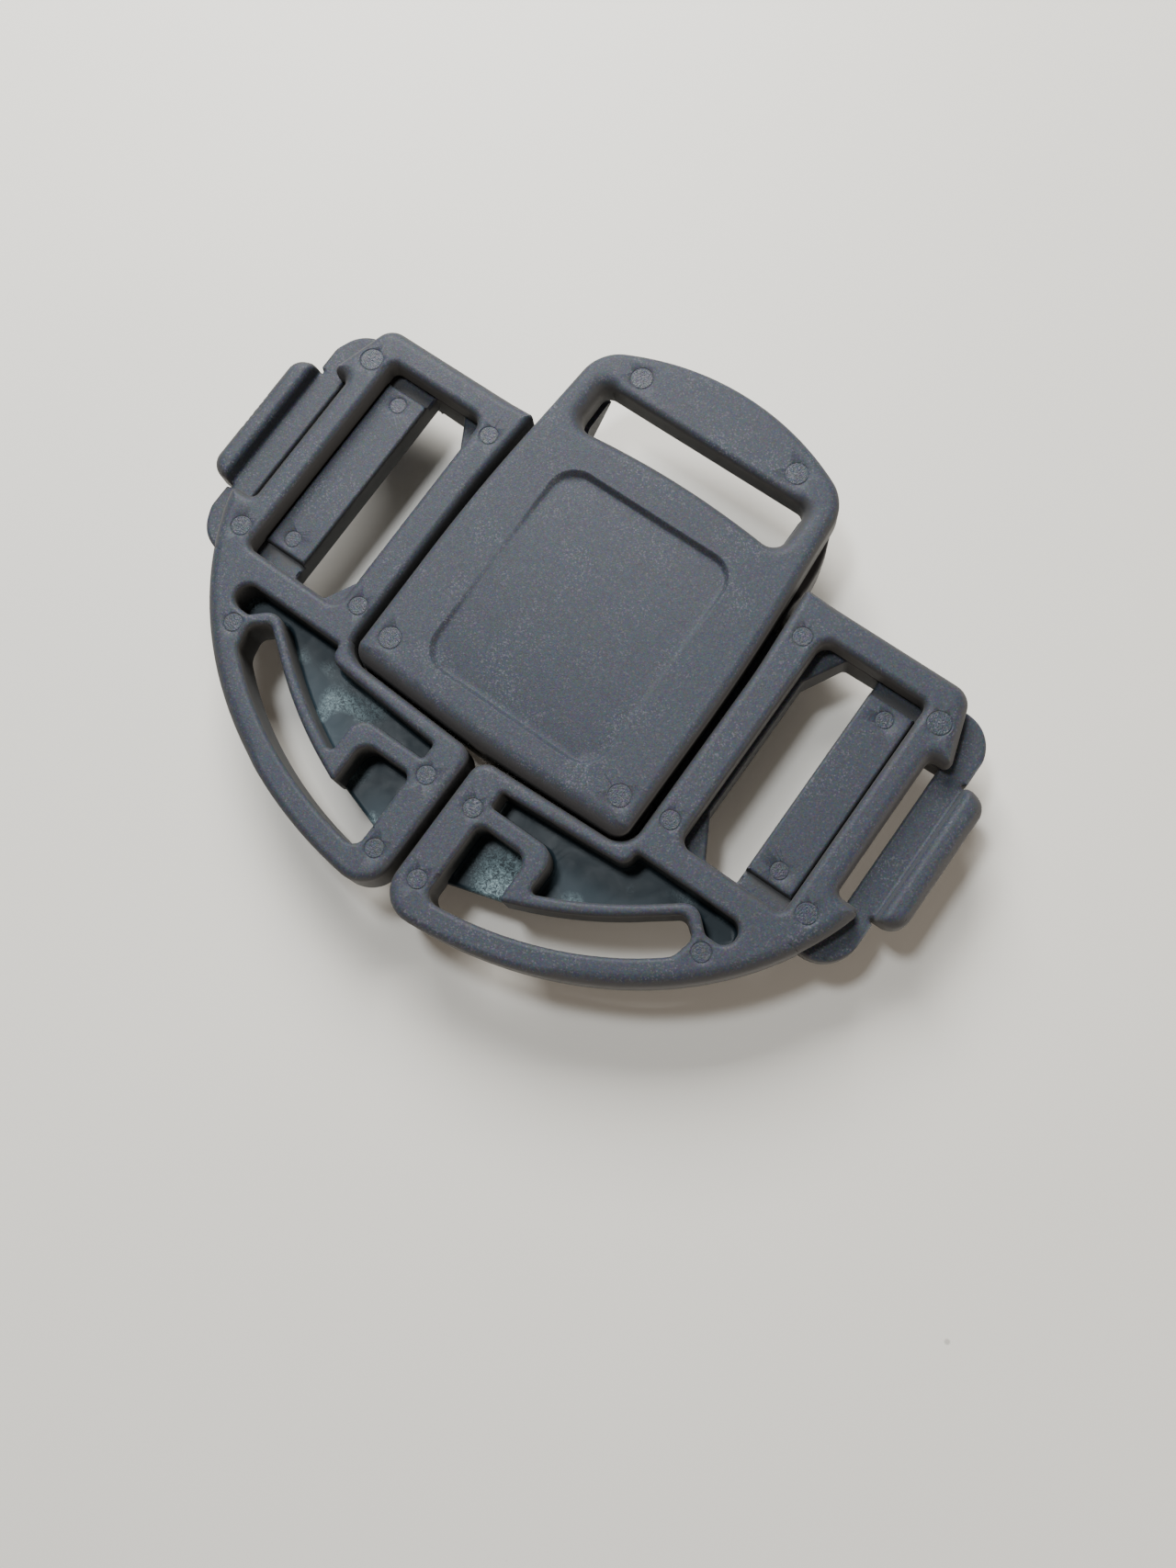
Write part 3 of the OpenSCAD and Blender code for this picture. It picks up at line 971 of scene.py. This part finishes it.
def pin_mark_tree():
    """Puts a thin, slightly uneven pad at each point, as wide as the point's mark."""
    tree, add, given = node_group(
        "GeometryNodeTree",
        "pin_marks",
        [
            ("Geometry", "Geometry", None),
            ("Sides", "Int", 40),
            ("Thickness", "Float", 0.06 * MM),
            ("Unevenness", "Float", 0.02 * MM),
            ("Seed", "Float", 4.0),
            ("Material", "Material", None),
        ],
        [("Geometry", "Geometry")],
    )
    pad = add(
        "GeometryNodeMeshCylinder",
        {"Vertices": given["Sides"], "Fill Segments": 7, "Radius": 1.0, "Depth": given["Thickness"]},
        fill_type="TRIANGLE_FAN",
    )
    width = add("GeometryNodeInputNamedAttribute", {"Name": "width"}, data_type="FLOAT")
    wide = width.outputs["Attribute"]
    scale = add("ShaderNodeCombineXYZ", {"X": wide, "Y": wide, "Z": 1.0})
    spread = add(
        "GeometryNodeInstanceOnPoints",
        {"Points": given["Geometry"], "Instance": pad.outputs["Mesh"], "Scale": scale.outputs["Vector"]},
    )
    real = add("GeometryNodeRealizeInstances", {"Geometry": spread.outputs["Instances"]})
    rough = add("ShaderNodeTexNoise", {"Scale": 2600, "W": given["Seed"]}, noise_dimensions="4D")
    rise = maths(add, "SUBTRACT", rough.outputs["Fac"], 0.5)
    rise = maths(add, "MULTIPLY", rise, given["Unevenness"])
    offset = add("ShaderNodeCombineXYZ", {"Z": rise})
    shape = add(
        "GeometryNodeSetPosition",
        {"Geometry": real.outputs["Geometry"], "Offset": offset.outputs["Vector"]},
    )
    paint = add(
        "GeometryNodeSetMaterial",
        {"Geometry": shape.outputs["Geometry"], "Material": given["Material"]},
    )
    add("NodeGroupOutput", {"Geometry": paint.outputs["Geometry"]})
    return tree


def pin_marks(name, marks, face_z, material):
    """The pads that ejector pins left in the floors of a face's marks."""
    mesh = bpy.data.meshes.new(name)
    pad_z = face_z - MARK_FLOOR
    mesh.from_pydata([(x * MM, y * MM, pad_z * MM) for x, y, _ in marks], [], [])
    widths = mesh.attributes.new("width", "FLOAT", "POINT")
    widths.data.foreach_set("value", [(r - PAD_INSET) * MM for _, _, r in marks])
    piece = placed(name, mesh)
    tree = bpy.data.node_groups.get("pin_marks") or pin_mark_tree()
    modifier = piece.modifiers.new("marks", "NODES")
    modifier.node_group = tree
    for item in tree.interface.items_tree:
        if item.in_out == "INPUT" and item.name == "Material":
            modifier[item.identifier] = material
    finished(piece)
    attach(piece, "root")
    return piece


# Materials

# The drift of the plastic's tone, as factors on its colour
COOL = (0.93, 1.02, 1.03)
WARM = (1.06, 0.98, 1.03)
# The table's faint clouds, as factors on its colour, and the colour of its specks
CLOUD = (0.955, 0.95, 0.94)
SPECK = (0.2, 0.19, 0.17)
# Where the right pocket's floor has its painted highlight, and how far from there the highlight ends and is
# whole, in metres
POCKET_HIGHLIGHT = (0.0090, -0.0238, 0.0063)
HIGHLIGHT_REACH = (0.0046, 0.0012)
# Over what depth a floor's polish and its painted shade set in, in metres
POLISH_FADE = 0.0004
# Each plastic's tone, grain size in metres, share of facets with painted glints, roughness, depth of bump,
# and the height in metres below which its floors are polished, painted darker as shade and given painted
# glints
PLASTICS = {
    "plate_plastic": (1.0, 0.00014, 0.3, 0.55, 0.5),
    "loop_plastic": (0.98, 0.00015, 0.26, 0.52, 0.45, (FLOOR_TOP + 0.7) * MM),
    "waist_plastic": (0.98, 0.00015, 0.26, 0.52, 0.45),
    "pin_mark_plastic": (1.0, 0.00018, 0.36, 0.33, 0.9),
}


def facing_up(add):
    """1 on a floor, 0 on a wall and -1 on a ceiling."""
    normal = add("ShaderNodeNewGeometry").outputs["Normal"]
    return add("ShaderNodeSeparateXYZ", {"Vector": normal}).outputs["Z"]


def grain_group():
    """Spark-eroded mould grain: its height, its bright facets, where glints are painted, and slow drifts of
    tone.
    """
    tree, add, given = node_group(
        "ShaderNodeTree",
        "spark_grain",
        [
            ("Vector", "Vector", None),
            ("Grain Size", "Float", 0.00022),
            ("Patch Size", "Float", 0.006),
            ("Bright Share", "Float", 0.35),
        ],
        [("Height", "Float"), ("Facets", "Float"), ("Tint", "Color"), ("Drift", "Float")],
    )
    place = given["Vector"]
    per_grain = maths(add, "DIVIDE", 1.0, given["Grain Size"])
    per_patch = maths(add, "DIVIDE", 1.0, given["Patch Size"])
    height = noise(add, place, scale=per_grain, detail=2.0, roughness=0.6)
    cells = add("ShaderNodeTexVoronoi", {"Vector": place, "Scale": per_grain, "Randomness": 1.0})
    tint = cells.outputs["Color"]
    spots = add("ShaderNodeSeparateColor", {"Color": tint}).outputs[0]
    patches = noise(add, place, scale=per_patch, detail=3.0, roughness=0.55)
    patches = remap(add, patches, 0.46, 0.7, low=0.4)
    share = maths(add, "MULTIPLY", patches, given["Bright Share"])
    # The bright facets are glints painted into the colour
    over = maths(add, "SUBTRACT", spots, maths(add, "SUBTRACT", 1.0, share))
    facets = remap(add, over, 0.0, 0.5)
    drift = noise(add, place, scale=95.0, detail=2.0)
    add("NodeGroupOutput", {"Height": height, "Facets": facets, "Tint": tint, "Drift": drift})
    return tree


def wear_group():
    """Where edges are rubbed smooth and take a painted warm reflection, from the piece's own edge
    attribute, and where its walls are, which are painted paler as reflected light.
    """
    tree, add, given = node_group(
        "ShaderNodeTree",
        "edge_wear_and_painted_light",
        [("Vector", "Vector", None), ("Amount", "Float", 1.0)],
        [("Mask", "Float"), ("Walls", "Float")],
    )
    edge = add("ShaderNodeAttribute", attribute_name="edge").outputs["Fac"]
    mottle = noise(add, given["Vector"], scale=900.0, detail=2.0)
    mottle = maths(add, "SUBTRACT", mottle, 0.5)
    ramp = remap(add, maths(add, "ADD", edge, mottle), 0.05, 0.75, ease="SMOOTHSTEP")
    mask = maths(add, "MULTIPLY", ramp, given["Amount"])
    # Walls, where a paler colour is painted as light reflected onto them
    walls = remap(add, maths(add, "ABSOLUTE", facing_up(add)), 0.55, 0.1, ease="SMOOTHSTEP")
    add("NodeGroupOutput", {"Mask": mask, "Walls": walls})
    return tree


def grained_plastic(name, tone, grain_size, share, roughness, bump, floor_z=None):
    """Grey moulded plastic with a spark-eroded face, glints painted on its bright facets, smoother edges
    with a painted warm reflection, and walls painted paler as reflected light.
    """
    finish = bpy.context.scene.buckle_finish
    material, add, place = new_material(name)
    grain_inputs = {"Vector": place, "Grain Size": grain_size, "Bright Share": share}
    grain = group_outputs(add, "spark_grain", grain_group, grain_inputs)
    wear = group_outputs(add, "edge_wear_and_painted_light", wear_group, {"Vector": place, "Amount": finish.wear})
    base = [channel * tone for channel in finish.plastic]
    tint = blended(add, grain["Drift"], opaque(base, COOL), opaque(base, WARM))
    tint = blended(add, finish.tint, tint, grain["Tint"], blend_type="SOFT_LIGHT")
    # Glints painted on the grain's bright facets
    tint = blended(add, grain["Facets"], tint, opaque(finish.facet_glint))
    # Rubbed edges: smoother, with the warm table's reflection painted into their colour
    tint = blended(add, wear["Mask"], tint, opaque(finish.edge, (tone, tone, tone)))
    # Walls painted paler, as light reflected onto them from the table
    tint = blended(add, wear["Walls"], tint, opaque(finish.wall))
    rough = remap(add, grain["Height"], 0.3, 0.7, low=roughness - 0.08, high=roughness + 0.1)
    rough = mixed(add, wear["Mask"], rough, roughness + 0.05)
    height = maths(add, "MULTIPLY", grain["Height"], remap(add, wear["Mask"], 0.0, 1.0, low=1.0, high=0.3))
    if floor_z is not None:
        tint, rough, height = polished_floor_shade_and_glints(add, place, (tint, rough, height), floor_z)
    bumped = add("ShaderNodeBump", {"Height": height, "Strength": bump, "Distance": grain_size * 0.4})
    inputs = {"Base Color": tint, "Roughness": rough, "Normal": bumped.outputs["Normal"]}
    surface(add, {**inputs, "Specular IOR Level": 0.2})
    return material


def polished_floor_shade_and_glints(add, place, sockets, floor_z):
    """Floors below floor_z are smoother and bluer from the mould's polish, and painted darker as shade in
    the hollows, with painted glints.
    """
    finish = bpy.context.scene.buckle_finish
    tint, rough, height = sockets
    level_z = add("ShaderNodeSeparateXYZ", {"Vector": place}).outputs["Z"]
    # Floors in the hollows: polished, and painted darker as shade
    deep = remap(add, level_z, floor_z, floor_z - POLISH_FADE, ease="SMOOTHSTEP")
    mask = maths(add, "MULTIPLY", deep, remap(add, facing_up(add), 0.0, 0.3))
    lines = noise(add, place, scale=420.0, detail=3.0, distortion=0.6)
    # Painted glints: bright streaky specks in patches, thickest at the right pocket's painted highlight
    some = remap(add, noise(add, place, scale=190.0, detail=1.0), 0.56, 0.72, high=0.8)
    away = add("ShaderNodeVectorMath", {0: place, 1: POCKET_HIGHLIGHT}, operation="DISTANCE")
    many = remap(add, away.outputs["Value"], *HIGHLIGHT_REACH, ease="SMOOTHSTEP")
    streaks = noise(add, place, scale=2400.0, detail=4.0, roughness=0.7, distortion=1.6)
    bright = remap(add, streaks, 0.4, 0.72)
    glints = maths(add, "MULTIPLY", maths(add, "MAXIMUM", some, many), bright)
    floor_with_glints = blended(add, glints, opaque(finish.floor), opaque(finish.glint))
    gloss = remap(add, lines, 0.3, 0.7, low=0.38, high=0.5)
    raised = maths(add, "ADD", glints, maths(add, "MULTIPLY", lines, 0.3))
    return (
        blended(add, mask, tint, floor_with_glints),
        mixed(add, mask, rough, gloss),
        mixed(add, mask, height, raised),
    )


def table_finish():
    """Pale matt laminate with faint clouds and a few fine specks."""
    material, add, place = new_material("pale_table")
    light = opaque(bpy.context.scene.buckle_finish.table)
    dim = opaque(light, CLOUD)
    clouded = blended(add, noise(add, place, scale=18.0, detail=3.0), light, dim)
    dots = add("ShaderNodeTexVoronoi", {"Vector": place, "Scale": 60.0})
    near = remap(add, dots.outputs["Distance"], 0.012, 0.022, low=0.45, high=0.0)
    specked = blended(add, near, clouded, opaque(SPECK))
    surface(add, {"Base Color": specked, "Roughness": 0.55})
    return material


def finish_of(name):
    """The plastic of that name, made on its first use."""
    return bpy.data.materials.get(name) or grained_plastic(name, *PLASTICS[name])


# Settings


def number(name, description, default, **more):
    return bpy.props.FloatProperty(name=name, description=description, default=default, min=0.0, **more)


def length(name, description, default):
    return number(name, description, default, unit="LENGTH", precision=5)


def colour(name, description, default):
    return bpy.props.FloatVectorProperty(
        name=name, description=description, default=default, size=3, subtype="COLOR", min=0, max=1
    )


class BuckleSizes(bpy.types.PropertyGroup):
    plate_round: length("Plate rounding", "Radius of the centre plate's edge", 0.0011)
    plate_low_round: length("Plate end rounding", "Radius of the plate's edge beside the seam", 0.0021)
    slot_bar_round: length("Slot bar rounding", "Radius of the bar that the crotch strap pulls on", 0.0013)
    slot_end_round: length("Slot end rounding", "Radius of the edges at the crotch slot's ends", 0.0017)
    rim_round: length("Loop rim rounding", "Radius of the shoulder loops' outer edge", 0.0014)
    inner_round: length("Inner rounding", "Radius of the loops' edges beside the plate", 0.0009)
    window_round: length("Window rounding", "Radius of the edges of the windows", 0.0008)
    wall_round: length("Thin wall rounding", "Radius of the edges of the cavities", 0.00055)
    lug_round: length("Lug rounding", "Radius of the waist pieces' outer corners", 0.0005)
    tab_round: length("Tab rounding", "Radius of the finger tabs' edges", 0.0013)


class BuckleFinish(bpy.types.PropertyGroup):
    plastic: colour("Plastic", "Colour of the moulded faces", (0.042, 0.0475, 0.061))
    edge: colour("Edges", "Colour of the rubbed edges, with a painted warm reflection", (0.053, 0.053, 0.055))
    wall: colour("Walls", "Colour of the walls, paler as painted reflected light", (0.085, 0.087, 0.088))
    facet_glint: colour("Facets", "Colour of the glints painted on the grain's facets", (0.14, 0.15, 0.18))
    floor: colour("Floors", "Colour of the polished floors, darker as painted shade", (0.019, 0.034, 0.045))
    glint: colour("Floor Glints", "Colour of the glints painted on the floors", (0.44, 0.60, 0.64))
    tint: number("Tint", "How much the grain's colour varies", 0.3, max=1, subtype="FACTOR")
    table: colour("Table", "Colour of the table", (0.84, 0.825, 0.775))
    # Wear also scales the reflection painted on the edges
    wear: number("Wear", "How much the edges are rubbed", 0.9, max=1, subtype="FACTOR")
    key_light: number("Key light", "Power of the main light", 4.1, unit="POWER")
    sky: number("Sky", "Strength of the light from all around", 0.08, subtype="FACTOR")


# Operators


class BackShell(bpy.types.Operator):
    """Moulds the centre body's back shell, with its plate, recessed panel and strap slot"""

    bl_idname = "buckle.back_shell"
    bl_label = "Back shell"

    def execute(self, context):
        moulding("back_shell", "centre_back_shell", back_shell(), "plate_plastic")
        return {"FINISHED"}


class FrontShell(bpy.types.Operator):
    """Moulds the centre body's front shell, with its wedge and the hole for the button"""

    bl_idname = "buckle.front_shell"
    bl_label = "Front shell"

    def execute(self, context):
        moulding("front_shell", "centre_front_shell", front_shell(), "plate_plastic")
        return {"FINISHED"}


class Button(bpy.types.Operator):
    """Moulds the dished release button with its flange and catches"""

    bl_idname = "buckle.button"
    bl_label = "Release button"

    def execute(self, context):
        moulding("button", "release_button", button(), "plate_plastic")
        return {"FINISHED"}


class ShoulderLoops(bpy.types.Operator):
    """Moulds both shoulder loops, with their windows, hollows and curved slots"""

    bl_idname = "buckle.shoulder_loops"
    bl_label = "Shoulder loops"

    def execute(self, context):
        parts = shoulder_loop()
        moulding("right_loop", "right_shoulder_loop", parts, "loop_plastic")
        moulding("left_loop", "left_shoulder_loop", parts, "loop_plastic", True)
        return {"FINISHED"}


class WaistTongues(bpy.types.Operator):
    """Moulds both waist pieces, with their strap bars, lugs and finger tabs"""

    bl_idname = "buckle.waist_tongues"
    bl_label = "Waist tongues"

    def execute(self, context):
        parts = waist_tongue()
        moulding("right_waist", "right_waist_tongue", parts, "waist_plastic")
        moulding("left_waist", "left_waist_tongue", parts, "waist_plastic", True)
        return {"FINISHED"}


class PinMarks(bpy.types.Operator):
    """Puts the pads of the ejector pins into their marks"""

    bl_idname = "buckle.pin_marks"
    bl_label = "Pin marks"

    def execute(self, context):
        rows = [
            ("plate_marks", PLATE_MARKS, PLATE_TOP),
            ("loop_marks", LOOP_MARKS, LOOP_TOP),
            ("bar_marks", BAR_MARKS, BAR_TOP),
        ]
        for name, marks, face_z in rows:
            pin_marks(name, marks + across(marks), face_z, finish_of("pin_mark_plastic"))
        return {"FINISHED"}


# Each light's name, place, size, share of the key light's power, and colour
LIGHTS = [
    ("key", (-0.24, 0.25, 0.30), (0.24, 0.24), 1.0, (1.0, 0.99, 0.96)),
    ("glint", (-0.14, 0.03, 0.50), (0.08, 0.08), 0.3, (0.93, 0.97, 1.0)),
    ("side_fill", (0.42, 0.09, 0.09), (0.26, 0.12), 0.25, (1.0, 0.90, 0.80)),
    ("front_fill", (0.10, -0.42, 0.08), (0.26, 0.10), 0.12, (1.0, 0.86, 0.74)),
]
AIM = (0.0, 0.0, 0.005)
SKY_COLOUR = (1.0, 0.86, 0.72, 1.0)
# The table lies a hair below the part, so that their faces don't flicker
TABLE_HALF = 1.5
TABLE_Z = -0.00002
# The photograph's camera: place in metres, turn in degrees, and focal length in pixels of its frame,
# which is 1280 wide and 1707 high
CAMERA_PLACE = (0.03833, -0.02966, 0.14793)
CAMERA_TURN = (12.646, 4.574, 35.855)
SENSOR = 36.0
FOCAL_PIXELS = 1500
PHOTO_HEIGHT = 1707


def area_light(name, place, size, power, tint):
    data = bpy.data.lights.new(name, "AREA")
    data.shape = "RECTANGLE"
    data.size, data.size_y = size
    data.energy = power
    data.color = tint
    lamp = placed(name, data)
    lamp.location = place
    lamp.rotation_mode = "QUATERNION"
    lamp.rotation_quaternion = (Vector(place) - Vector(AIM)).to_track_quat("Z", "Y")


class Stage(bpy.types.Operator):
    """Lays the table, hangs the lights and sets the camera at the photograph's angle"""

    bl_idname = "buckle.stage"
    bl_label = "Stage"

    def execute(self, context):
        scene = context.scene
        finish = scene.buckle_finish
        mesh = bpy.data.meshes.new("table")
        signs = ((-1, -1), (1, -1), (1, 1), (-1, 1))
        corners = [(x * TABLE_HALF, y * TABLE_HALF, TABLE_Z) for x, y in signs]
        mesh.from_pydata(corners, [], [(0, 1, 2, 3)])
        mesh.materials.append(table_finish())
        placed("table", mesh)
        for name, place, size, share, tint in LIGHTS:
            area_light(name, place, size, finish.key_light * share, tint)
        world = bpy.data.worlds.new("soft_sky")
        world.use_nodes = True
        background = world.node_tree.nodes["Background"]
        background.inputs["Color"].default_value = SKY_COLOUR
        background.inputs["Strength"].default_value = finish.sky
        scene.world = world
        data = bpy.data.cameras.new("camera")
        data.sensor_width = SENSOR
        data.lens = SENSOR * FOCAL_PIXELS / PHOTO_HEIGHT
        data.clip_start = 0.005
        camera = placed("camera", data)
        camera.location = CAMERA_PLACE
        camera.rotation_euler = [math.radians(a) for a in CAMERA_TURN]
        scene.camera = camera
        return {"FINISHED"}


class BucklePanel(bpy.types.Panel):
    """Lists the buckle's pieces and settings"""

    bl_idname = "VIEW3D_PT_buckle"
    bl_label = "Harness buckle"
    bl_space_type = "VIEW_3D"
    bl_region_type = "UI"
    bl_category = "Buckle"

    def draw(self, context):
        for operator in OPERATORS:
            self.layout.operator(operator.bl_idname)
        for settings in (context.scene.buckle_sizes, context.scene.buckle_finish):
            for key in settings.bl_rna.properties.keys():
                if key not in ("rna_type", "name"):
                    self.layout.prop(settings, key)


OPERATORS = (BackShell, FrontShell, Button, ShoulderLoops, WaistTongues, PinMarks, Stage)
CLASSES = (BuckleSizes, BuckleFinish) + OPERATORS + (BucklePanel,)


def register():
    for item in CLASSES:
        bpy.utils.register_class(item)
    bpy.types.Scene.buckle_sizes = bpy.props.PointerProperty(type=BuckleSizes)
    bpy.types.Scene.buckle_finish = bpy.props.PointerProperty(type=BuckleFinish)


def unregister():
    del bpy.types.Scene.buckle_finish
    del bpy.types.Scene.buckle_sizes
    for item in reversed(CLASSES):
        bpy.utils.unregister_class(item)


def main():
    register()
    bpy.ops.buckle.back_shell()
    bpy.ops.buckle.front_shell()
    bpy.ops.buckle.button()
    bpy.ops.buckle.shoulder_loops()
    bpy.ops.buckle.waist_tongues()
    bpy.ops.buckle.pin_marks()
    bpy.ops.buckle.stage()


if __name__ == "__main__":
    main()
